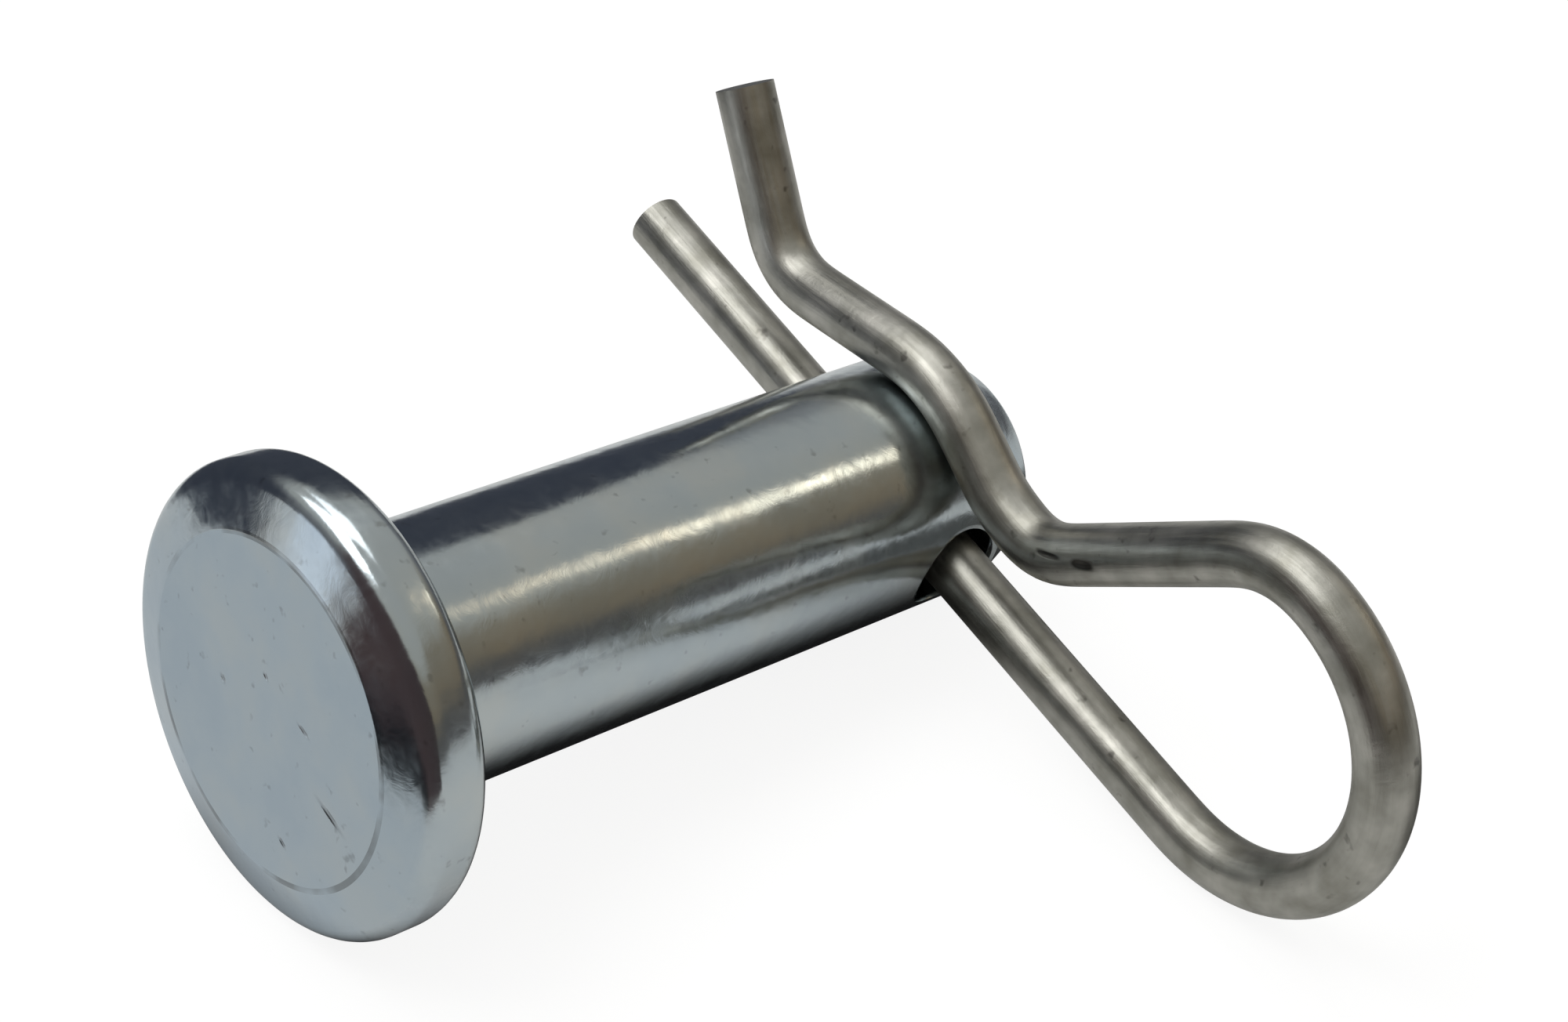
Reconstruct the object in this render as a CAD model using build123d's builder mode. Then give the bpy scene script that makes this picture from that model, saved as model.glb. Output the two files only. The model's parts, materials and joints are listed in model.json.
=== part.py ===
"""Clevis pin with a spring clip, lying on its side as it comes to rest.

The pin is one turned and headed piece with a cross hole near its point. The clip is one bent
wire: a straight leg through the cross hole, a round bow, and a wavy leg that springs over the
outside of the shank and flares at its end.
"""

import os
from math import asin, atan2, cos, hypot, radians, sin, tan

from build123d import *

# ---- Driving dimensions, millimetres and degrees ----

# Pin
shank_diameter = 10.0
shank_length = 31.0          # from the underside of the head to the end of the point
head_diameter = 17.5
head_thickness = 3.0
face_diameter = 13.0         # flat middle of the head's outer face
bevel_depth = 0.6            # how far the bevel round that face drops towards the rim
face_edge_radius = 0.3       # soft edge between the flat face and the bevel
rim_radius = 0.6             # rounding between the bevel and the rim
seat_edge_radius = 0.8       # rounding between the rim and the underside
neck_radius = 0.5            # fillet between the underside and the shank
point_length = 2.2           # tapered lead-in at the end of the shank
point_diameter = 8.4
end_edge_radius = 0.3
hole_diameter = 3.8
hole_to_end = 4.3            # from the hole's centre line to the end of the point
hole_edge_radius = 0.25

# Clip
wire_diameter = 2.4
cut_edge = 0.15              # small chamfer on the wire's two cut ends
tail_reach = 11.3            # straight leg past the far side of the shank
bow_reach = 13.65            # straight leg from the near side of the shank to the bow
bow_radius = 6.7             # all bend radii are to the wire's centre line
return_radius = 4.6          # tighter end of the bow
return_turn = 47.0
return_run = 10.55           # from the bow to the corner of the wavy leg
valley_run = 2.9             # between the two corners of the near valley
valley_radius = 1.9
shoulder_radius = 3.0
hug_clearance = 0.08         # between the wire and the shank where the clip springs over it
hug_start = 24.0             # the hug's arc, counted each way from the bottom of its curve
hug_end = 16.6
far_run = 7.15               # from the hug to the corner of the far valley
far_radius = 2.8
flare_angle = 45.0           # how far the loose end flares from the straight leg
flare_run = 7.7
leg_clearance = 0.1          # between the straight leg and the hole's wall, at the nearer mouth
leg_tilt = 2.2               # the straight leg's slope in its hole, bow towards the head
clip_lean = 4.0              # the wavy leg leans towards the head

# ---- Sizes that follow ----

shank_radius = shank_diameter / 2
head_radius = head_diameter / 2
face_radius = face_diameter / 2
point_radius = point_diameter / 2
hole_radius = hole_diameter / 2
wire_radius = wire_diameter / 2
point_start = shank_length - point_length
hole_station = shank_length - hole_to_end
hug_radius = shank_radius + wire_radius + hug_clearance
bow_station = shank_radius + bow_reach
leg_offset = hole_radius - wire_radius - leg_clearance - shank_radius * tan(radians(leg_tilt))
leg_station = hole_station + leg_offset


def resting_pin_frame():
    """The pin's frame as it lies: Z along the axis to the point, X level, Y down.

    The lowest line of the pin runs from the rounded edge of the head to the start of the point.
    """
    run = point_start + seat_edge_radius
    rise = head_radius - seat_edge_radius - shank_radius
    droop = atan2(rise, run) + asin(seat_edge_radius / hypot(run, rise))
    height = point_start * sin(droop) + shank_radius * cos(droop)
    return Plane(origin=(0, 0, height), x_dir=(0, -1, 0), z_dir=(cos(droop), 0, -sin(droop)))


def turned(frame, direction, angle):
    """A frame turned in place about a direction."""
    axis = Axis((0, 0, 0), direction)
    x_dir = frame.x_dir.rotate(axis, angle)
    return Plane(origin=frame.origin, x_dir=x_dir, z_dir=frame.z_dir.rotate(axis, angle))


def clip_frame(pin_frame, roll):
    """The plane of the clip's centre line, with the pin rolled by an angle about its axis."""
    frame = turned(pin_frame.offset(leg_station), pin_frame.z_dir, roll)
    frame = turned(frame, frame.x_dir, clip_lean)
    return turned(frame, frame.y_dir, leg_tilt)


def bow_height(pin_frame, roll):
    """Height of the underside of the bow above the floor."""
    frame = clip_frame(pin_frame, roll)
    centre = frame.from_local_coords((bow_station, -bow_radius, 0))
    steepness = hypot(frame.x_dir.Z, frame.y_dir.Z)
    return centre.Z - bow_radius * steepness - wire_radius


def resting_roll(pin_frame):
    """The pin rolls over on its lowest line until the bow of the clip meets the floor."""
    clear, touching = 0.0, 45.0
    for _ in range(40):
        middle = (clear + touching) / 2
        if bow_height(pin_frame, middle) > 0:
            clear = middle
        else:
            touching = middle
    return clear


def toward(angle, length):
    """A step in the clip's plane, with its angle counted from the straight leg."""
    return Vector(length * cos(radians(angle)), length * sin(radians(angle)))


pin_frame = resting_pin_frame()
roll = resting_roll(pin_frame)
pin_axis = Axis(pin_frame.origin, pin_frame.z_dir)
clip_plane = clip_frame(pin_frame, roll)

# ---- Pin ----

section_plane = Plane(origin=pin_frame.origin, x_dir=pin_frame.z_dir, z_dir=pin_frame.x_dir)
hole_plane = Plane(
    origin=pin_frame.offset(hole_station).origin,
    z_dir=turned(pin_frame, pin_frame.z_dir, roll).x_dir,
)

with BuildPart() as clevis_pin:
    with BuildSketch(section_plane) as half_section:
        with BuildLine():
            Polyline(
                (-head_thickness, 0),
                (-head_thickness, face_radius),
                (bevel_depth - head_thickness, head_radius),
                (0, head_radius),
                (0, shank_radius),
                (point_start, shank_radius),
                (shank_length, point_radius),
                (shank_length, 0),
                close=True,
            )
        make_face()
        corners = half_section.vertices()
        for station, radius, rounding in (
            (-head_thickness, face_radius, face_edge_radius),
            (bevel_depth - head_thickness, head_radius, rim_radius),
            (0, head_radius, seat_edge_radius),
            (0, shank_radius, neck_radius),
            (shank_length, point_radius, end_edge_radius),
        ):
            fillet(corners.sort_by_distance((station, radius))[0], rounding)
    revolve(axis=pin_axis)
    with Locations(hole_plane.offset(head_radius)):
        Hole(hole_radius)
    hole_wall = clevis_pin.faces().filter_by(GeomType.CYLINDER).sort_by(SortBy.AREA)[0]
    fillet(hole_wall.edges().filter_by(GeomType.LINE, reverse=True), hole_edge_radius)

# ---- Clip ----

return_centre = Vector(bow_station, return_radius - 2 * bow_radius)
return_heading = 180 - return_turn
return_end = return_centre + toward(-90 - return_turn, return_radius)
near_corner = return_end + toward(return_heading, return_run)
hug_half = (hug_start + hug_end) / 2
hug_middle = (hug_start - hug_end) / 2 - 90
hug_corner = toward(hug_middle, hug_radius / cos(radians(hug_half)))
shoulder_corner = toward(hug_start - 90, hug_radius) + toward(hug_start, valley_run)
far_corner = toward(-90 - hug_end, hug_radius) + toward(180 - hug_end, far_run)
loose_end = far_corner + toward(180 + flare_angle, flare_run)
wavy_leg = (return_end, near_corner, shoulder_corner, hug_corner, far_corner, loose_end)

with BuildPart() as r_clip:
    with BuildLine(clip_plane):
        Line((-shank_radius - tail_reach, 0), (bow_station, 0))
        CenterArc((bow_station, -bow_radius), bow_radius, 90, -180)
        CenterArc(tuple(return_centre), return_radius, -90, -return_turn)
        FilletPolyline(
            *(tuple(point) for point in wavy_leg),
            radius=[valley_radius, shoulder_radius, hug_radius, far_radius],
        )
    tail_end = clip_plane.from_local_coords((-shank_radius - tail_reach, 0, 0))
    with BuildSketch(Plane(origin=tail_end, z_dir=clip_plane.x_dir)) as wire_section:
        Circle(wire_radius)
    sweep()
    cut_faces = r_clip.faces().filter_by(GeomType.PLANE)
    chamfer(cut_faces.edges(), cut_edge)

# ---- Origin at the middle of the footprint, on the floor ----

box = (clevis_pin.part + r_clip.part).bounding_box()
to_origin = Location((-box.center().X, -box.center().Y, -box.min.Z))

os.makedirs("parts", exist_ok=True)
for piece, name in ((clevis_pin.part, "clevis_pin"), (r_clip.part, "r_clip")):
    placed = piece.moved(to_origin)
    placed.label = name
    export_step(placed, f"parts/{name}.step")
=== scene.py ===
"""Clevis pin with its spring clip, lying on its side on a pale floor."""

import json
from math import acos, atan2, cos, hypot, pi, radians, sin, tan

import bmesh
import bpy
from mathutils import Matrix, Vector


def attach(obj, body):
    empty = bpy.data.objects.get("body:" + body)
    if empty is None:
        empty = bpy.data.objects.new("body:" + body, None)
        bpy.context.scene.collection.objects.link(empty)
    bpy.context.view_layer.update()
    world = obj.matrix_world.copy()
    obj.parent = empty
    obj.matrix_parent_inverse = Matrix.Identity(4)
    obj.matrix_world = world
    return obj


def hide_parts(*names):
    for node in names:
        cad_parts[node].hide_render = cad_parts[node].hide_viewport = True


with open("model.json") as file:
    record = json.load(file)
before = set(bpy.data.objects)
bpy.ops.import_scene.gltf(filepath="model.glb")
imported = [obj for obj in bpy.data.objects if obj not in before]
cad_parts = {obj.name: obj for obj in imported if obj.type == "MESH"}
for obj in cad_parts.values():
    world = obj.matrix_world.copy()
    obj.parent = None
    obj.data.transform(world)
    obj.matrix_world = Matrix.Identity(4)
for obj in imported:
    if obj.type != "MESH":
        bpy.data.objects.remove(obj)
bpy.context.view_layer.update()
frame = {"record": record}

MM = 0.001

# ---- Sizes of the pin, in metres ----

SHANK_RADIUS = 5.0 * MM
SHANK_LENGTH = 31.0 * MM
HEAD_RADIUS = 8.75 * MM
HEAD_THICKNESS = 3.0 * MM
FACE_RADIUS = 6.5 * MM
BEVEL_DEPTH = 0.6 * MM
POINT_LENGTH = 2.2 * MM
POINT_RADIUS = 4.2 * MM
FACE_EDGE = 0.3 * MM
RIM_EDGE = 0.9 * MM
SEAT_EDGE = 0.8 * MM
NECK_FILLET = 0.5 * MM
END_EDGE = 0.3 * MM
HOLE_RADIUS = 1.9 * MM
HOLE_TO_END = 4.3 * MM
HOLE_EDGE = 0.25 * MM
DRILL_OVERRUN = 1.0 * MM

# ---- Sizes of the clip ----

WIRE_RADIUS = 1.2 * MM
CUT_EDGE = 0.15 * MM
TAIL_REACH = 11.3 * MM
BOW_REACH = 13.65 * MM
BOW_RADIUS = 6.7 * MM
RETURN_RADIUS = 4.6 * MM
RETURN_TURN = radians(47.0)
RETURN_RUN = 10.55 * MM
VALLEY_RUN = 2.9 * MM
VALLEY_RADIUS = 2.8 * MM
SHOULDER_RADIUS = 3.0 * MM
HUG_CLEARANCE = 0.08 * MM
HUG_START = radians(24.0)
HUG_END = radians(16.6)
FAR_RUN = 7.15 * MM
FAR_RADIUS = 2.8 * MM
FLARE_ANGLE = radians(45.0)
FLARE_RUN = 7.7 * MM
LEG_CLEARANCE = 0.1 * MM
LEG_TILT = radians(2.2)
CLIP_LEAN = radians(4.0)

# ---- How finely the shapes are made ----

SHARP_ANGLE = radians(35)
PIN_SEGMENTS = 256
PIN_STEP = 0.35 * MM
PIN_ARC_STEP = radians(9)
DRILL_SEGMENTS = 96
WIRE_STEPS_ROUND = 48
WIRE_STEP = 0.25 * MM
WIRE_ARC_STEP = radians(3)
WIRE_EASING_PASSES = 8
ROLL_HALVINGS = 40
NEARLY_STRAIGHT = radians(89.9)
ON_SURFACE = 0.002 * MM
TINY = 1e-9

# ---- Marks ----

# Scratches on the head's face: both ends from its middle, level and down, and half the width,
# in millimetres
FACE_SCRATCHES = (
    ((2.9, 1.3), (5.2, 2.05), 0.17),
    ((1.6, -0.8), (2.6, -0.5), 0.12),
    ((1.4, 4.4), (2.1, 4.75), 0.12),
    ((-2.75, 0.05), (-2.3, 0.45), 0.16),
    ((-0.45, -1.55), (0.0, -1.25), 0.13),
)
FACE_RING_HALF_WIDTH = 0.12 * MM

# Nicks in the wire: both ends as degrees round it, up from its side towards the pin's head,
# and millimetres along it from the tail, and half the width in millimetres
WIRE_NICKS = (
    ((20, 69.5), (5, 67.7), 0.16),
    ((0, 67.5), (-10, 66.0), 0.25),
)

# ---- Finishes ----

# Tints by how cloudy the surface is, and the colour of the dirt over them
ZINC_TINTS = (
    (0.34, (0.455, 0.515, 0.55)), (0.5, (0.48, 0.535, 0.56)), (0.68, (0.51, 0.55, 0.555)))
ZINC_DIRT = (0.20, 0.21, 0.21)
WIRE_TINTS = (
    (0.32, (0.27, 0.265, 0.23)), (0.5, (0.36, 0.355, 0.32)), (0.68, (0.46, 0.45, 0.41)))
WIRE_DIRT = (0.05, 0.045, 0.04)

# How far dirt covers the metal
ZINC_SPECK_COVER = 0.45
SCRATCH_COVER = 0.6
FACE_RING_COVER = 0.75
WIRE_SPECK_COVER = 0.6
NICK_COVER = 0.85

# Roughness where the scuffs or the drawn lines are faint, and where they are strong
ZINC_ROUGHNESS = (0.11, 0.24)
WIRE_ROUGHNESS = (0.30, 0.48)

DRAWN_LINE_SCALE = 5000.0
DRAWN_LINE_STRETCH = 0.05

# How much of the floor is plain white to the camera and in reflections, and how bright it is
FLOOR_WHITE_SEEN = 0.75
FLOOR_WHITE_MIRRORED = 0.17
FLOOR_GLOW = 1.18

# ---- Where the pin lies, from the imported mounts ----

mounts = {mount["name"]: mount for mount in frame["record"]["mounts"]}
PIN_AXIS = Vector(mounts["shank_grip"]["axis"]).normalized()
on_axis = Vector(mounts["shank_grip"]["pos_m"])
on_seat = Vector(mounts["head_seat"]["pos_m"])
SEAT = on_axis + PIN_AXIS * (on_seat - on_axis).dot(PIN_AXIS)
LEVEL = Vector((0, -1, 0))
HOLE_STATION = SHANK_LENGTH - HOLE_TO_END
LEG_STATION = (
    HOLE_STATION + HOLE_RADIUS - WIRE_RADIUS - LEG_CLEARANCE - SHANK_RADIUS * tan(LEG_TILT))
BOW_STATION = SHANK_RADIUS + BOW_REACH


def clip_axes(roll):
    """The directions along the clip's straight leg and across it, in the clip's plane."""
    turn = Matrix.Rotation(roll, 3, PIN_AXIS)
    leg = turn @ LEVEL
    across = Matrix.Rotation(CLIP_LEAN, 3, leg) @ (turn @ PIN_AXIS.cross(LEVEL))
    return Matrix.Rotation(LEG_TILT, 3, across) @ leg, across


def bow_height(roll):
    """Height of the underside of the bow above the floor."""
    leg, across = clip_axes(roll)
    centre = SEAT + PIN_AXIS * LEG_STATION + leg * BOW_STATION - across * BOW_RADIUS
    return centre.z - BOW_RADIUS * hypot(leg.z, across.z) - WIRE_RADIUS


def resting_roll():
    """The pin's roll at which the bow meets the floor."""
    clear, touching = 0.0, radians(45)
    for _ in range(ROLL_HALVINGS):
        middle = (clear + touching) / 2
        clear, touching = (middle, touching) if bow_height(middle) > 0 else (clear, middle)
    return clear


ROLL = resting_roll()
LEG, ACROSS = clip_axes(ROLL)
LEG_ORIGIN = SEAT + PIN_AXIS * LEG_STATION
HOLE_CENTRE = SEAT + PIN_AXIS * HOLE_STATION
HOLE_AXIS = Matrix.Rotation(ROLL, 3, PIN_AXIS) @ LEVEL


# ---- Shader helpers ----

def node(tree, kind, inputs=None, **settings):
    """Add a node, set its properties, and set or link its inputs."""
    made = tree.nodes.new(kind)
    for key, value in settings.items():
        setattr(made, key, value)
    for key, value in (inputs or {}).items():
        if isinstance(value, bpy.types.NodeSocket):
            tree.links.new(value, made.inputs[key])
        else:
            made.inputs[key].default_value = value
    return made


def maths(tree, operation, *values):
    """The result of a maths node."""
    return node(tree, "ShaderNodeMath", dict(enumerate(values)), operation=operation).outputs[0]


def vector_maths(tree, operation, *values, output="Vector"):
    """The result of a vector maths node."""
    made = node(tree, "ShaderNodeVectorMath", dict(enumerate(values)), operation=operation)
    return made.outputs[output]


def remapped(tree, value, start, end, low=0.0, high=1.0, **settings):
    """A value carried from the range start to end into the range low to high."""
    return node(tree, "ShaderNodeMapRange", {
        "Value": value, "From Min": start, "From Max": end, "To Min": low, "To Max": high},
        **settings).outputs["Result"]


def ramp(tree, fac, stops):
    """A colour ramp with stops of (position, colour)."""
    made = node(tree, "ShaderNodeValToRGB", {"Fac": fac})
    elements = made.color_ramp.elements
    while len(elements) < len(stops):
        elements.new(0.5)
    for element, (position, colour) in zip(elements, stops):
        element.position = position
        element.color = (*colour, 1)
    return made.outputs["Color"]


def noise(tree, vector, scale, detail, roughness, distortion=0.0):
    """The value of a noise texture."""
    return node(tree, "ShaderNodeTexNoise", {
        "Vector": vector, "Scale": scale, "Detail": detail, "Roughness": roughness,
        "Distortion": distortion}).outputs["Fac"]


def bumps(tree, *layers):
    """A normal bent by layers of (height, strength, depth in metres, whether it is sunk)."""
    normal = None
    for height, strength, depth, sunk in layers:
        inputs = {"Height": height, "Strength": strength, "Distance": depth}
        if normal is not None:
            inputs["Normal"] = normal
        normal = node(tree, "ShaderNodeBump", inputs, invert=sunk).outputs["Normal"]
    return normal


def new_material(name):
    """An empty material and its node tree."""
    material = bpy.data.materials.new(name)
    material.use_nodes = True
    tree = material.node_tree
    tree.nodes.clear()
    return material, tree


def finish_material(tree, shader):
    """Show a shader on the surface."""
    node(tree, "ShaderNodeOutputMaterial", {"Surface": shader})


def metal(tree, tint, dirt_colour, dirt, roughness, normal):
    """A bare metal surface with dirt over its tint."""
    colour = node(tree, "ShaderNodeMix", {
        "Factor": dirt, "A": tint, "B": (*dirt_colour, 1)}, data_type="RGBA").outputs["Result"]
    shader = node(tree, "ShaderNodeBsdfPrincipled", {
        "Base Color": colour, "Metallic": 1.0, "Roughness": roughness, "Normal": normal})
    finish_material(tree, shader.outputs["BSDF"])


def wear_group():
    """Handling wear shared by both metals: a cloudy mask, fine specks, and scuffs as heights."""
    group = bpy.data.node_groups.new("handling_wear", "ShaderNodeTree")
    face = group.interface
    face.new_socket("Vector", in_out="INPUT", socket_type="NodeSocketVector")
    for name in ("Cloud Scale", "Speck Scale", "Scuff Scale"):
        face.new_socket(name, in_out="INPUT", socket_type="NodeSocketFloat")
    for name in ("Cloud", "Specks", "Scuffs"):
        face.new_socket(name, in_out="OUTPUT", socket_type="NodeSocketFloat")
    given = group.nodes.new("NodeGroupInput").outputs
    place = given["Vector"]
    cloud = noise(group, place, given["Cloud Scale"], detail=3.0, roughness=0.55)
    specks = noise(group, place, given["Speck Scale"], detail=2.0, roughness=0.6)
    scuffs = noise(
        group, place, given["Scuff Scale"], detail=4.0, roughness=0.7, distortion=1.2)
    node(group, "NodeGroupOutput", {
        "Cloud": cloud, "Specks": remapped(group, specks, 0.66, 0.76), "Scuffs": scuffs})
    return group


WEAR = wear_group()


def wear(tree, vector, cloud_scale, speck_scale, scuff_scale):
    """The cloud, specks and scuffs of handling wear."""
    made = node(tree, "ShaderNodeGroup", node_tree=WEAR)
    tree.links.new(vector, made.inputs["Vector"])
    made.inputs["Cloud Scale"].default_value = cloud_scale
    made.inputs["Speck Scale"].default_value = speck_scale
    made.inputs["Scuff Scale"].default_value = scuff_scale
    return made.outputs["Cloud"], made.outputs["Specks"], made.outputs["Scuffs"]


def scratch_group():
    """A short straight scratch: 1 along the line through Middle, 0 away from it."""
    group = bpy.data.node_groups.new("scratch", "ShaderNodeTree")
    face = group.interface
    for name in ("Vector", "Middle", "Direction"):
        face.new_socket(name, in_out="INPUT", socket_type="NodeSocketVector")
    for name in ("Half Length", "Half Width"):
        face.new_socket(name, in_out="INPUT", socket_type="NodeSocketFloat")
    face.new_socket("Mark", in_out="OUTPUT", socket_type="NodeSocketFloat")
    given = group.nodes.new("NodeGroupInput").outputs
    direction = given["Direction"]
    offset = vector_maths(group, "SUBTRACT", given["Vector"], given["Middle"])
    along = vector_maths(group, "DOT_PRODUCT", offset, direction, output="Value")
    aside = vector_maths(group, "CROSS_PRODUCT", offset, direction)
    distance = vector_maths(group, "LENGTH", aside, output="Value")
    ends = remapped(group, maths(group, "ABSOLUTE", along), given["Half Length"], 0.0,
                    interpolation_type="SMOOTHSTEP")
    edge = remapped(group, distance, given["Half Width"], 0.0, interpolation_type="SMOOTHSTEP")
    node(group, "NodeGroupOutput", {"Mark": maths(group, "MULTIPLY", ends, edge)})
    return group


SCRATCH = scratch_group()


def scratches(tree, place, marks):
    """The strongest of some scratches, each (first end, last end, half width in millimetres)."""
    total = None
    for first, last, half_width in marks:
        mark = node(tree, "ShaderNodeGroup", node_tree=SCRATCH)
        tree.links.new(place, mark.inputs["Vector"])
        mark.inputs["Middle"].default_value = (first + last) / 2
        mark.inputs["Direction"].default_value = (last - first).normalized()
        mark.inputs["Half Length"].default_value = (last - first).length / 2
        mark.inputs["Half Width"].default_value = half_width * MM
        value = mark.outputs["Mark"]
        total = value if total is None else maths(tree, "MAXIMUM", total, value)
    return total


# ---- Materials ----

def on_face(level, down):
    """A point on the head's outer face, from its middle, in millimetres."""
    middle = SEAT - PIN_AXIS * HEAD_THICKNESS
    return middle + (LEVEL * level + PIN_AXIS.cross(LEVEL) * down) * MM


def on_wire(degrees_round, along):
    """A place on the wire's surface, as the attribute wire_place gives it."""
    turn = radians(degrees_round)
    return Vector((WIRE_RADIUS * cos(turn), WIRE_RADIUS * sin(turn), along * MM))


def face_ring(tree, place):
    """1 in a narrow ring where the head's flat face meets its bevel, and 0 elsewhere."""
    offset = vector_maths(tree, "SUBTRACT", place, SEAT)
    radial = vector_maths(tree, "CROSS_PRODUCT", offset, PIN_AXIS)
    radius = vector_maths(tree, "LENGTH", radial, output="Value")
    station = vector_maths(tree, "DOT_PRODUCT", offset, PIN_AXIS, output="Value")
    ring = maths(tree, "COMPARE", radius, FACE_RADIUS, FACE_RING_HALF_WIDTH)
    front = maths(tree, "LESS_THAN", station, BEVEL_DEPTH - HEAD_THICKNESS)
    return maths(tree, "MULTIPLY", ring, front)


def zinc_plate():
    """Bright zinc plating: bluish grey, a little cloudy, with specks, scuffs and scratches."""
    material, tree = new_material("zinc_plate")
    place = node(tree, "ShaderNodeTexCoord").outputs["Object"]
    cloud, specks, scuffs = wear(
        tree, place, cloud_scale=330.0, speck_scale=1500.0, scuff_scale=900.0)
    scratched = scratches(tree, place, [
        (on_face(*start), on_face(*end), half_width)
        for start, end, half_width in FACE_SCRATCHES])
    patchy = remapped(tree, cloud, 0.42, 0.6, high=FACE_RING_COVER)
    edge_dirt = maths(tree, "MULTIPLY", face_ring(tree, place), patchy)
    speck_dirt = maths(tree, "MULTIPLY", specks, ZINC_SPECK_COVER)
    scratch_dirt = maths(tree, "MULTIPLY", scratched, SCRATCH_COVER)
    dirt = maths(tree, "MAXIMUM", maths(tree, "MAXIMUM", speck_dirt, scratch_dirt), edge_dirt)
    rough = remapped(tree, scuffs, 0.3, 0.75, *ZINC_ROUGHNESS)
    normal = bumps(
        tree, (cloud, 0.10, 0.4 * MM, False), (scuffs, 0.07, 0.08 * MM, False),
        (scratched, 0.5, 0.08 * MM, True))
    metal(tree, ramp(tree, cloud, ZINC_TINTS), ZINC_DIRT, dirt, rough, normal)
    return material


def spring_wire():
    """Drawn spring wire: olive grey, satin, with faint lines along its length and two nicks."""
    material, tree = new_material("spring_wire")
    place = node(tree, "ShaderNodeTexCoord").outputs["Object"]
    wrap = node(tree, "ShaderNodeAttribute", attribute_name="wire_place").outputs["Vector"]
    cloud, specks, scuffs = wear(
        tree, place, cloud_scale=520.0, speck_scale=1300.0, scuff_scale=1100.0)
    stretched = node(tree, "ShaderNodeMapping", {
        "Vector": wrap, "Scale": (1.0, 1.0, DRAWN_LINE_STRETCH)}).outputs["Vector"]
    lines = noise(tree, stretched, DRAWN_LINE_SCALE, detail=4.0, roughness=0.65)
    nicked = scratches(tree, wrap, [
        (on_wire(*start), on_wire(*end), half_width)
        for start, end, half_width in WIRE_NICKS])
    speck_dirt = maths(tree, "MULTIPLY", specks, WIRE_SPECK_COVER)
    nick_dirt = remapped(tree, nicked, 0.03, 0.3, high=NICK_COVER)
    dirt = maths(tree, "MAXIMUM", speck_dirt, nick_dirt)
    rough = remapped(tree, lines, 0.3, 0.7, *WIRE_ROUGHNESS)
    normal = bumps(
        tree, (lines, 0.12, 0.1 * MM, False), (scuffs, 0.12, 0.1 * MM, False),
        (nicked, 0.5, 0.12 * MM, True))
    metal(tree, ramp(tree, cloud, WIRE_TINTS), WIRE_DIRT, dirt, rough, normal)
    return material


def floor_paint():
    """Pale matt floor, lifted to white where it is seen, and less where it is reflected."""
    material, tree = new_material("floor_paint")
    rays = node(tree, "ShaderNodeLightPath").outputs
    seen = maths(tree, "MULTIPLY", rays["Is Camera Ray"], FLOOR_WHITE_SEEN)
    share = maths(tree, "MULTIPLY_ADD", rays["Is Glossy Ray"], FLOOR_WHITE_MIRRORED, seen)
    matt = node(tree, "ShaderNodeBsdfDiffuse", {"Color": (0.72, 0.73, 0.735, 1)})
    white = node(tree, "ShaderNodeEmission", {"Color": (1, 1, 1, 1), "Strength": FLOOR_GLOW})
    mixed = node(tree, "ShaderNodeMixShader", {
        0: share, 1: matt.outputs[0], 2: white.outputs[0]})
    finish_material(tree, mixed.outputs[0])
    return material


ZINC = zinc_plate()
WIRE = spring_wire()


# ---- Mesh helpers ----

def shade_smooth(mesh):
    """Shade a mesh smooth, but for its sharp edges."""
    mesh.polygons.foreach_set("use_smooth", [True] * len(mesh.polygons))
    mesh.set_sharp_from_angle(angle=SHARP_ANGLE)


def mesh_piece(name, shape):
    """Make an object from a bmesh."""
    mesh = bpy.data.meshes.new(name)
    shape.to_mesh(mesh)
    shape.free()
    shade_smooth(mesh)
    piece = bpy.data.objects.new(name, mesh)
    bpy.context.scene.collection.objects.link(piece)
    return piece


def settle(piece):
    """Turn a piece's modifiers into its plain mesh."""
    graph = bpy.context.evaluated_depsgraph_get()
    mesh = bpy.data.meshes.new_from_object(piece.evaluated_get(graph))
    piece.modifiers.clear()
    piece.data = mesh
    mesh.name = piece.name


def join_rings(shape, rings):
    """Join rings of vertices, or single end points, in their order."""
    for near, far in zip(rings, rings[1:]):
        count = max(len(near), len(far))
        for index in range(count):
            after = (index + 1) % count
            if len(near) == 1:
                corners = near[0], far[index], far[after]
            elif len(far) == 1:
                corners = near[index], far[0], near[after]
            else:
                corners = near[index], far[index], far[after], near[after]
            shape.faces.new(corners)


def rounded_outline(corners, arc_step):
    """Replace each corner (x, y, radius) of an open outline by a fine arc."""
    points = [Vector(corners[0][:2])]
    for before, here, after in zip(corners, corners[1:], corners[2:]):
        corner, radius = Vector(here[:2]), here[2]
        back = (Vector(before[:2]) - corner).normalized()
        ahead = (Vector(after[:2]) - corner).normalized()
        half = acos(max(-1.0, min(1.0, back.dot(ahead)))) / 2
        if radius <= 0 or half > NEARLY_STRAIGHT:
            points.append(corner)
            continue
        reach = radius / tan(half)
        centre = corner + (back + ahead).normalized() * (radius / sin(half))
        start, end = corner + back * reach - centre, corner + ahead * reach - centre
        sweep = atan2(start.cross(end), start.dot(end))
        steps = max(2, round(abs(sweep) / arc_step))
        for step in range(steps + 1):
            points.append(centre + Matrix.Rotation(sweep * step / steps, 2) @ start)
    points.append(Vector(corners[-1][:2]))
    return points


def divided(points, longest):
    """Divide the long runs of an outline into even short ones."""
    result = [points[0]]
    for start, end in zip(points, points[1:]):
        steps = max(1, round((end - start).length / longest))
        result += [start.lerp(end, step / steps) for step in range(1, steps + 1)]
    return result


# ---- Pin ----

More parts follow.
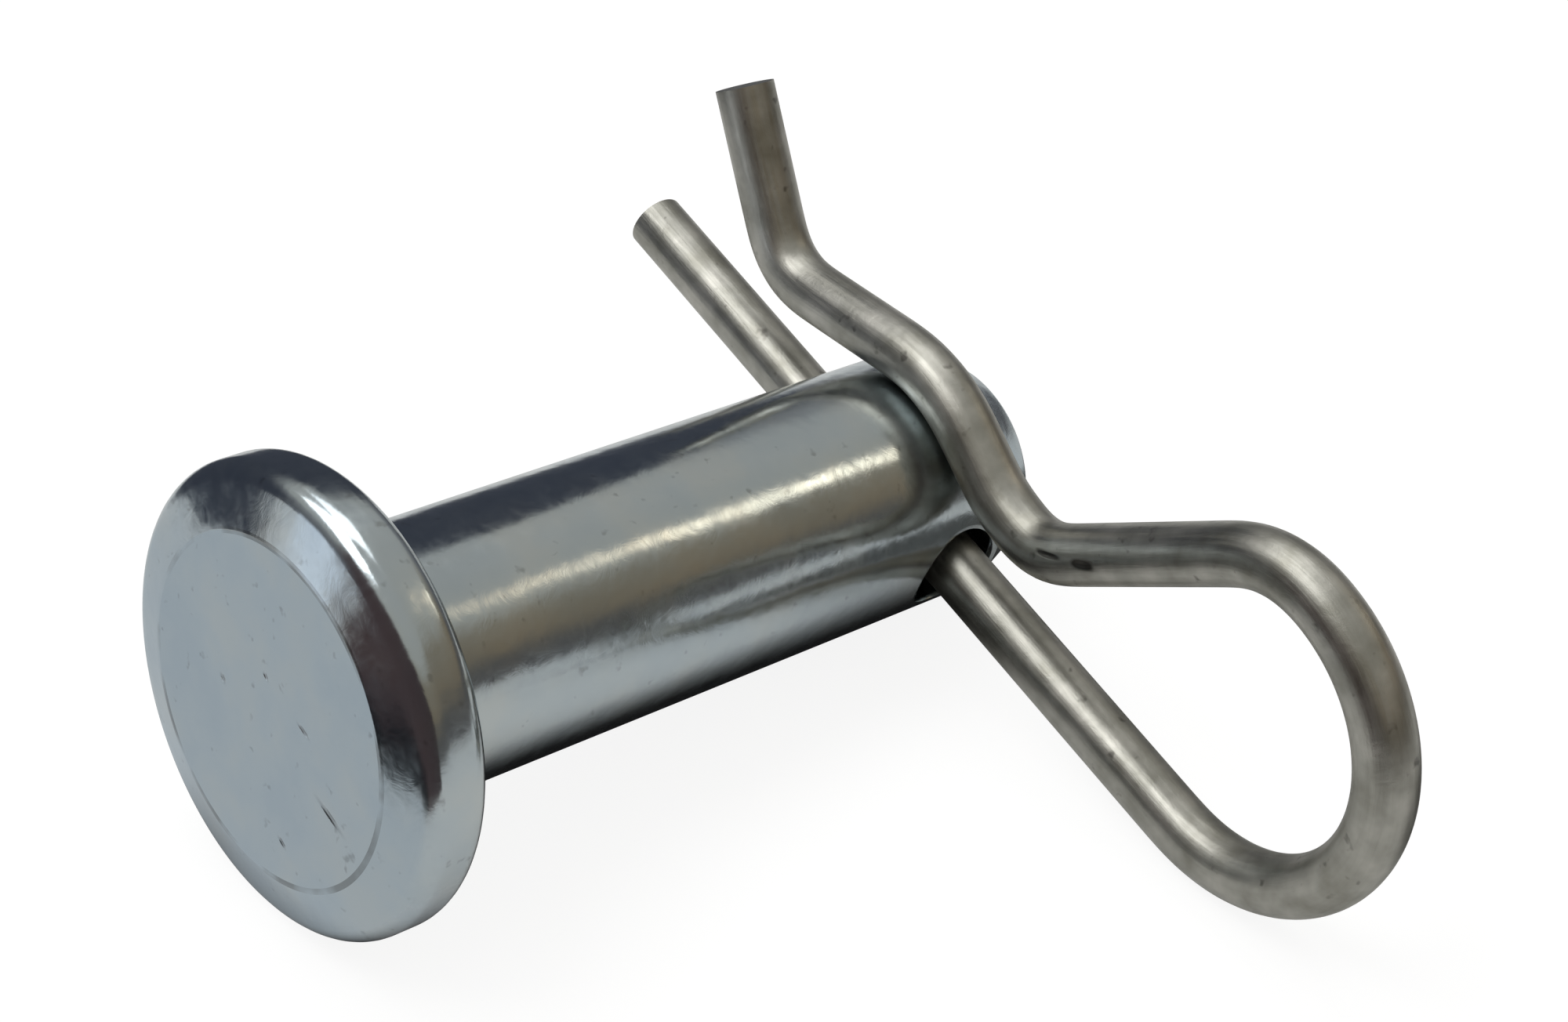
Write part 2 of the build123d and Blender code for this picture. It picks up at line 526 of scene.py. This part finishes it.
def turned_pin():
    """Head, shank and point as one turned shape about the pin's axis."""
    outline = rounded_outline([
        (-HEAD_THICKNESS, 0, 0),
        (-HEAD_THICKNESS, FACE_RADIUS, FACE_EDGE),
        (BEVEL_DEPTH - HEAD_THICKNESS, HEAD_RADIUS, RIM_EDGE),
        (0, HEAD_RADIUS, SEAT_EDGE),
        (0, SHANK_RADIUS, NECK_FILLET),
        (SHANK_LENGTH - POINT_LENGTH, SHANK_RADIUS, 0),
        (SHANK_LENGTH, POINT_RADIUS, END_EDGE),
        (SHANK_LENGTH, 0, 0),
    ], PIN_ARC_STEP)
    side = PIN_AXIS.cross(LEVEL)
    angles = [2 * pi * index / PIN_SEGMENTS for index in range(PIN_SEGMENTS)]
    spokes = [LEVEL * cos(angle) + side * sin(angle) for angle in angles]
    shape = bmesh.new()
    rings = []
    for station, radius in divided(outline, PIN_STEP):
        centre = SEAT + PIN_AXIS * station
        if radius < TINY:
            rings.append([shape.verts.new(centre)])
        else:
            rings.append([shape.verts.new(centre + spoke * radius) for spoke in spokes])
    join_rings(shape, rings)
    bmesh.ops.recalc_face_normals(shape, faces=shape.faces)
    return shape


def drill():
    """The cutter for the cross hole, flared a little where it meets the shank's skin.

    Each ring is wider than the hole by its first number, and stands above the skin by its
    second. The last ring is flat, and clear of the shank.
    """
    flare = (
        (0.0, -HOLE_EDGE), (0.3 * HOLE_EDGE, -0.3 * HOLE_EDGE), (2.0 * HOLE_EDGE, 0.42 * HOLE_EDGE),
        (2.0 * HOLE_EDGE, None))
    across = PIN_AXIS.cross(HOLE_AXIS)
    shape = bmesh.new()
    rings = []
    for way in (-1, 1):
        for widen, rise in flare[::way]:
            radius = HOLE_RADIUS + widen
            ring = []
            for index in range(DRILL_SEGMENTS):
                angle = 2 * pi * index / DRILL_SEGMENTS
                along, aside = radius * cos(angle), radius * sin(angle)
                if rise is None:
                    height = SHANK_RADIUS + DRILL_OVERRUN
                else:
                    height = (SHANK_RADIUS ** 2 - aside ** 2) ** 0.5 + rise
                ring.append(shape.verts.new(
                    HOLE_CENTRE + PIN_AXIS * along + across * aside + HOLE_AXIS * height * way))
            rings.append(ring)
    join_rings(shape, rings)
    shape.faces.new(rings[0])
    shape.faces.new(rings[-1][::-1])
    return shape


def away(point, origin, axis):
    """The part of a point's offset from an axis that is square to that axis."""
    offset = point - origin
    return offset - axis * offset.dot(axis)


def true_normals(mesh):
    """Give the shank's skin and the hole's wall the normals of the round forms they stand for."""
    rounds = ((SEAT, PIN_AXIS, SHANK_RADIUS, 1), (HOLE_CENTRE, HOLE_AXIS, HOLE_RADIUS, -1))
    normals = [Vector(corner.vector) for corner in mesh.corner_normals]
    for polygon in mesh.polygons:
        corners = [mesh.vertices[index].co for index in polygon.vertices]
        for origin, axis, radius, way in rounds:
            spokes = [away(corner, origin, axis) for corner in corners]
            if all(abs(spoke.length - radius) < ON_SURFACE for spoke in spokes):
                for loop, spoke in zip(polygon.loop_indices, spokes):
                    normals[loop] = spoke.normalized() * way
    mesh.normals_split_custom_set(normals)


def make_pin():
    """The turned pin with its cross hole cut."""
    piece = mesh_piece("pin", turned_pin())
    cutter = mesh_piece("drill", drill())
    cut = piece.modifiers.new("cross_hole", "BOOLEAN")
    cut.operation = "DIFFERENCE"
    cut.solver = "MANIFOLD"
    cut.object = cutter
    settle(piece)
    bpy.data.objects.remove(cutter)
    shade_smooth(piece.data)
    true_normals(piece.data)
    piece.data.materials.clear()
    piece.data.materials.append(ZINC)
    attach(piece, "root")
    return piece


# ---- Clip ----

def step_toward(angle, length):
    """A step in the clip's plane, with its angle counted from the straight leg."""
    return Vector((length * cos(angle), length * sin(angle)))


def arc_points(centre, radius, start, sweep):
    """Points along an arc in the clip's plane."""
    steps = max(2, round(abs(sweep) / WIRE_ARC_STEP))
    return [centre + step_toward(start + sweep * index / steps, radius)
            for index in range(steps + 1)]


def clip_line():
    """The clip's centre line in its own plane: tail, bow, wavy leg and flared end."""
    return_centre = Vector((BOW_STATION, RETURN_RADIUS - 2 * BOW_RADIUS))
    return_end = return_centre + step_toward(-pi / 2 - RETURN_TURN, RETURN_RADIUS)
    near_corner = return_end + step_toward(pi - RETURN_TURN, RETURN_RUN)
    hug_radius = SHANK_RADIUS + WIRE_RADIUS + HUG_CLEARANCE
    hug_reach = hug_radius / cos((HUG_START + HUG_END) / 2)
    hug_corner = step_toward((HUG_START - HUG_END) / 2 - pi / 2, hug_reach)
    shoulder = step_toward(HUG_START - pi / 2, hug_radius) + step_toward(HUG_START, VALLEY_RUN)
    far_corner = step_toward(-pi / 2 - HUG_END, hug_radius) + step_toward(pi - HUG_END, FAR_RUN)
    loose_end = far_corner + step_toward(pi + FLARE_ANGLE, FLARE_RUN)
    tail = Vector((-SHANK_RADIUS - TAIL_REACH, 0))
    bow = arc_points(Vector((BOW_STATION, -BOW_RADIUS)), BOW_RADIUS, pi / 2, -pi)
    bow += arc_points(return_centre, RETURN_RADIUS, -pi / 2, -RETURN_TURN)[1:]
    wavy = rounded_outline([
        (*return_end, 0),
        (*near_corner, VALLEY_RADIUS),
        (*shoulder, SHOULDER_RADIUS),
        (*hug_corner, hug_radius),
        (*far_corner, FAR_RADIUS),
        (*loose_end, 0),
    ], WIRE_ARC_STEP)
    return [tail] + bow + wavy[1:]


def even_path(points, spacing):
    """Points at an even spacing along an outline."""
    total = sum((b - a).length for a, b in zip(points, points[1:]))
    gap = total / round(total / spacing)
    path, carried = [points[0].copy()], 0.0
    for start, end in zip(points, points[1:]):
        length = (end - start).length
        while carried + length >= gap * len(path) - TINY:
            path.append(start.lerp(end, (gap * len(path) - carried) / length))
        carried += length
    return path


def eased(path, passes):
    """Ease a path's bends in and out, as a bending tool leaves them."""
    for _ in range(passes):
        inner = [a * 0.25 + b * 0.5 + c * 0.25 for a, b, c in zip(path, path[1:], path[2:])]
        path = [path[0]] + inner + [path[-1]]
    return path


def capture(tree, curve, kind, name, value):
    """Keep a value on the points of a curve: the curve, and the value as it is kept."""
    made = tree.nodes.new("GeometryNodeCaptureAttribute")
    made.capture_items.new(kind, name)
    tree.links.new(curve, made.inputs[0])
    tree.links.new(value, made.inputs[1])
    return made.outputs[0], made.outputs[1]


def bent_wire():
    """Geometry nodes that sweep a round wire along a path of edges.

    The attribute wire_place keeps each point's place across the wire and its length along it.
    """
    tree = bpy.data.node_groups.new("bent_wire", "GeometryNodeTree")
    for name, kind in (("Path", "Geometry"), ("Wire Radius", "Float"), ("Round Steps", "Int"),
                       ("Finish", "Material")):
        tree.interface.new_socket(name, in_out="INPUT", socket_type="NodeSocket" + kind)
    tree.interface.new_socket("Wire", in_out="OUTPUT", socket_type="NodeSocketGeometry")
    given = tree.nodes.new("NodeGroupInput").outputs
    path = node(tree, "GeometryNodeMeshToCurve", {"Mesh": given["Path"]})
    girth = node(tree, "GeometryNodeInputNamedAttribute", {"Name": "girth"}, data_type="FLOAT")
    shaped = node(tree, "GeometryNodeSetCurveRadius", {
        "Curve": path.outputs["Curve"], "Radius": girth.outputs["Attribute"]})
    length = node(tree, "GeometryNodeSplineParameter").outputs["Length"]
    rail, along = capture(tree, shaped.outputs["Curve"], "FLOAT", "Along", length)
    section = node(tree, "GeometryNodeCurvePrimitiveCircle", {
        "Resolution": given["Round Steps"], "Radius": given["Wire Radius"]})
    position = node(tree, "GeometryNodeInputPosition").outputs[0]
    profile, across = capture(tree, section.outputs["Curve"], "VECTOR", "Across", position)
    swept = node(tree, "GeometryNodeCurveToMesh", {
        "Curve": rail, "Profile Curve": profile, "Fill Caps": True})
    lengthwise = node(tree, "ShaderNodeCombineXYZ", {"Z": along}).outputs[0]
    mapped = node(tree, "GeometryNodeStoreNamedAttribute", {
        "Geometry": swept.outputs["Mesh"], "Name": "wire_place",
        "Value": vector_maths(tree, "ADD", across, lengthwise)},
        data_type="FLOAT_VECTOR", domain="POINT")
    single = node(tree, "GeometryNodeRealizeInstances", {"Geometry": mapped.outputs["Geometry"]})
    finished = node(tree, "GeometryNodeSetMaterial", {
        "Geometry": single.outputs["Geometry"], "Material": given["Finish"]})
    node(tree, "NodeGroupOutput", {"Wire": finished.outputs["Geometry"]})
    return tree


def make_clip():
    """The clip: its centre line as a path of edges, and the wire swept along it."""
    path = eased(even_path(clip_line(), WIRE_STEP), WIRE_EASING_PASSES)
    path.insert(1, path[0] + (path[1] - path[0]).normalized() * CUT_EDGE)
    path.insert(-1, path[-1] + (path[-2] - path[-1]).normalized() * CUT_EDGE)
    shape = bmesh.new()
    girth = shape.verts.layers.float.new("girth")
    verts = [shape.verts.new(LEG_ORIGIN + LEG * point.x + ACROSS * point.y) for point in path]
    for vert in verts:
        vert[girth] = 1.0
    verts[0][girth] = verts[-1][girth] = 1.0 - CUT_EDGE / WIRE_RADIUS
    for start, end in zip(verts, verts[1:]):
        shape.edges.new((start, end))
    piece = mesh_piece("clip", shape)
    sweep = piece.modifiers.new("bent_wire", "NODES")
    sweep.node_group = bent_wire()
    values = {"Wire Radius": WIRE_RADIUS, "Round Steps": WIRE_STEPS_ROUND, "Finish": WIRE}
    for socket in sweep.node_group.interface.items_tree:
        if socket.in_out == "INPUT" and socket.name in values:
            sweep[socket.identifier] = values[socket.name]
    settle(piece)
    shape = bmesh.new()
    shape.from_mesh(piece.data)
    bmesh.ops.recalc_face_normals(shape, faces=shape.faces)
    shape.to_mesh(piece.data)
    shape.free()
    shade_smooth(piece.data)
    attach(piece, "root")
    return piece


pin = make_pin()
clip = make_clip()
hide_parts("clevis_pin")
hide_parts("r_clip")


# ---- Floor, light and camera: sizes and places in metres ----

FLOOR_HALF_WIDTH = 0.6

# Lamps: name, place, sides and power in watts
LAMPS = (
    ("softbox", (-0.16, 0.13, 0.34), (0.26, 0.20), 0.52),
    ("overhead", (0.08, 0.14, 0.36), (0.22, 0.20), 0.26),
)
LAMP_TARGET = Vector((0, 0, 0.01))

# The room's colours in front and behind, by how far up a direction points
ROOM_IN_FRONT = (
    (0.0, (0.12, 0.115, 0.115)), (0.2, (0.13, 0.12, 0.11)), (0.34, (0.25, 0.20, 0.14)),
    (0.55, (0.29, 0.25, 0.19)), (0.66, (0.48, 0.47, 0.43)), (1.0, (0.50, 0.50, 0.48)))
ROOM_BEHIND = (
    (0.0, (0.10, 0.10, 0.11)), (0.15, (0.17, 0.17, 0.18)), (0.42, (0.31, 0.31, 0.31)),
    (0.50, (0.49, 0.485, 0.46)), (0.75, (0.50, 0.495, 0.47)), (1.0, (0.50, 0.50, 0.48)))
FRONT_ENDS = -0.25
BEHIND_STARTS = 0.2

# The window is a long strip at a distance, between two turns from the pin's axis
WINDOW_DISTANCE = 0.45
WINDOW_TURNS = (47.8, 60.0)
WINDOW_UP = Vector((0.122, -0.303, 0.944)).normalized()
WINDOW_ACROSS = PIN_AXIS.cross(WINDOW_UP)
WINDOW_WIDTH = 0.090
WINDOW_SHIFT = 0.014
WINDOW_COLOURS = (
    (0.0, (5.0, 4.6, 3.7)), (0.25, (2.9, 2.5, 1.95)), (0.50, (1.65, 1.4, 1.05)),
    (0.75, (1.0, 0.86, 0.67)), (1.0, (0.70, 0.61, 0.49)))
WINDOW_FADES = (0.05, 0.40)

# Other cards: name, centre, length, width, colours at both ends, and the share of the length
# and of the width that fades out at each side
CARDS = (
    ("blue_card", (-0.004, 0.043, 0.017), (0.100, 0, 0.030), (0, 0, 0.072),
     (0.05, 0.056, 0.075), (0.06, 0.066, 0.085), (0.06, 0.2)),
    ("brown_card", (-0.038, -0.028, 0.018), (0, 0.09, 0), (0, 0, 0.056),
     (0.05, 0.04, 0.04), (0.085, 0.058, 0.060), (0.06, 0.2)),
    ("foot_card", (-0.0375, 0.002, 0.0007), (0, 0.026, 0), (0, 0, 0.0135),
     (0.014, 0.015, 0.018), (0.014, 0.015, 0.018), (0.12, 0.22)),
    ("gap_card", (-0.052, 0.030, 0.006), (0.001, 0.013, 0), (0, 0, 0.036),
     (0.95, 1.02, 1.12), (1.0, 1.06, 1.15), (0.2, 0.2)),
    ("face_card", (-0.028, 0.017, 0.0003), (0.040, 0, 0), (0, 0.054, 0),
     (0.57, 0.61, 0.64), (0.59, 0.62, 0.645), (0.25, 0.25)),
    ("pin_shade", (0.008, 0.0050, 0.0004), (0.054, 0, 0), (0, 0.018, 0),
     (0.01, 0.01, 0.01), (0.01, 0.01, 0.01), (0.06, 0.33)),
    ("clip_shade", (0.027, -0.017, 0.0005), (0.028, 0, 0), (0, 0.050, 0),
     (0.10, 0.10, 0.095), (0.10, 0.10, 0.095), (0.3, 0.25)),
)

CAMERA_PLACE = (-0.06332, -0.06250, 0.08521)
CAMERA_TURN = (51.14, -5.29, -41.855)
LENS_MM = 74.17
SENSOR_MM = 36.0
CLIP_START = 0.005


def make_floor():
    """A plain square floor at height 0."""
    shape = bmesh.new()
    corners = ((-1, -1), (1, -1), (1, 1), (-1, 1))
    shape.faces.new([
        shape.verts.new((x * FLOOR_HALF_WIDTH, y * FLOOR_HALF_WIDTH, 0)) for x, y in corners])
    floor = mesh_piece("floor", shape)
    floor.data.materials.append(floor_paint())


def make_world():
    """A plain room: pale overhead, brown and dim low in front, grey and dim low behind."""
    world = bpy.data.worlds.new("room")
    bpy.context.scene.world = world
    world.use_nodes = True
    tree = world.node_tree
    tree.nodes.clear()
    way = node(tree, "ShaderNodeTexCoord").outputs["Generated"]
    parts = node(tree, "ShaderNodeSeparateXYZ", {0: way}).outputs
    side = remapped(tree, parts["Y"], FRONT_ENDS, BEHIND_STARTS)
    room = node(tree, "ShaderNodeMix", {
        "Factor": side, "A": ramp(tree, parts["Z"], ROOM_IN_FRONT),
        "B": ramp(tree, parts["Z"], ROOM_BEHIND)}, data_type="RGBA").outputs["Result"]
    seen = node(tree, "ShaderNodeLightPath").outputs["Is Camera Ray"]
    light = node(tree, "ShaderNodeBackground", {"Color": room})
    white = node(tree, "ShaderNodeBackground", {"Color": (1, 1, 1, 1)})
    mixed = node(tree, "ShaderNodeMixShader", {0: seen, 1: light.outputs[0], 2: white.outputs[0]})
    node(tree, "ShaderNodeOutputWorld", {"Surface": mixed.outputs[0]})


def area_light(name, place, sides, power):
    """A rectangular lamp that faces the part."""
    lamp = bpy.data.lights.new(name, "AREA")
    lamp.shape = "RECTANGLE"
    lamp.size, lamp.size_y = sides
    lamp.energy = power
    holder = bpy.data.objects.new(name, lamp)
    holder.location = place
    holder.rotation_euler = (LAMP_TARGET - Vector(place)).to_track_quat("-Z", "Y").to_euler()
    bpy.context.scene.collection.objects.link(holder)


def make_card(name, centre, length, width, stops, fades):
    """A studio card that only reflections show.

    Its colours run along its length, and it fades out towards its edges.
    """
    material, tree = new_material(name)
    uv = node(tree, "ShaderNodeUVMap", uv_map="card").outputs[0]
    place = node(tree, "ShaderNodeSeparateXYZ", {0: uv}).outputs
    shares = []
    for axis, fade in zip("XY", fades):
        low = remapped(tree, place[axis], 0.0, fade, interpolation_type="SMOOTHSTEP")
        high = remapped(tree, place[axis], 1.0, 1.0 - fade, interpolation_type="SMOOTHSTEP")
        shares.append(maths(tree, "MULTIPLY", low, high))
    clear = node(tree, "ShaderNodeBsdfTransparent")
    glow = node(tree, "ShaderNodeEmission", {
        "Color": ramp(tree, place["X"], stops), "Strength": 1.0})
    mixed = node(tree, "ShaderNodeMixShader", {
        0: maths(tree, "MULTIPLY", *shares), 1: clear.outputs[0], 2: glow.outputs[0]})
    finish_material(tree, mixed.outputs[0])
    shape = bmesh.new()
    wrap = shape.loops.layers.uv.new("card")
    corners = ((0, 0), (1, 0), (1, 1), (0, 1))
    face = shape.faces.new([shape.verts.new(
        Vector(centre) + Vector(length) * (x - 0.5) + Vector(width) * (y - 0.5))
        for x, y in corners])
    for loop, corner in zip(face.loops, corners):
        loop[wrap].uv = corner
    card = mesh_piece(name, shape)
    card.data.materials.append(material)
    card.visible_camera = card.visible_diffuse = card.visible_shadow = False


def make_window():
    """The window strip, which the shank mirrors along its length."""
    first, last = [
        (PIN_AXIS * cos(radians(turn)) + WINDOW_UP * sin(radians(turn))) * WINDOW_DISTANCE
        for turn in WINDOW_TURNS]
    make_card("window", (first + last) / 2 + WINDOW_ACROSS * WINDOW_SHIFT, last - first,
              WINDOW_ACROSS * WINDOW_WIDTH, WINDOW_COLOURS, WINDOW_FADES)


def make_camera():
    """The camera, with a fairly long lens, looking down on the head's side of the pin."""
    lens = bpy.data.cameras.new("camera")
    lens.lens = LENS_MM
    lens.sensor_width = SENSOR_MM
    lens.clip_start = CLIP_START
    holder = bpy.data.objects.new("camera", lens)
    holder.location = CAMERA_PLACE
    holder.rotation_euler = [radians(turn) for turn in CAMERA_TURN]
    bpy.context.scene.collection.objects.link(holder)
    bpy.context.scene.camera = holder


make_floor()
make_world()
for lamp_settings in LAMPS:
    area_light(*lamp_settings)
make_window()
for name, centre, length, width, first_colour, last_colour, fades in CARDS:
    make_card(name, centre, length, width, ((0.0, first_colour), (1.0, last_colour)), fades)
make_camera()
bpy.context.scene.view_settings.view_transform = "Standard"
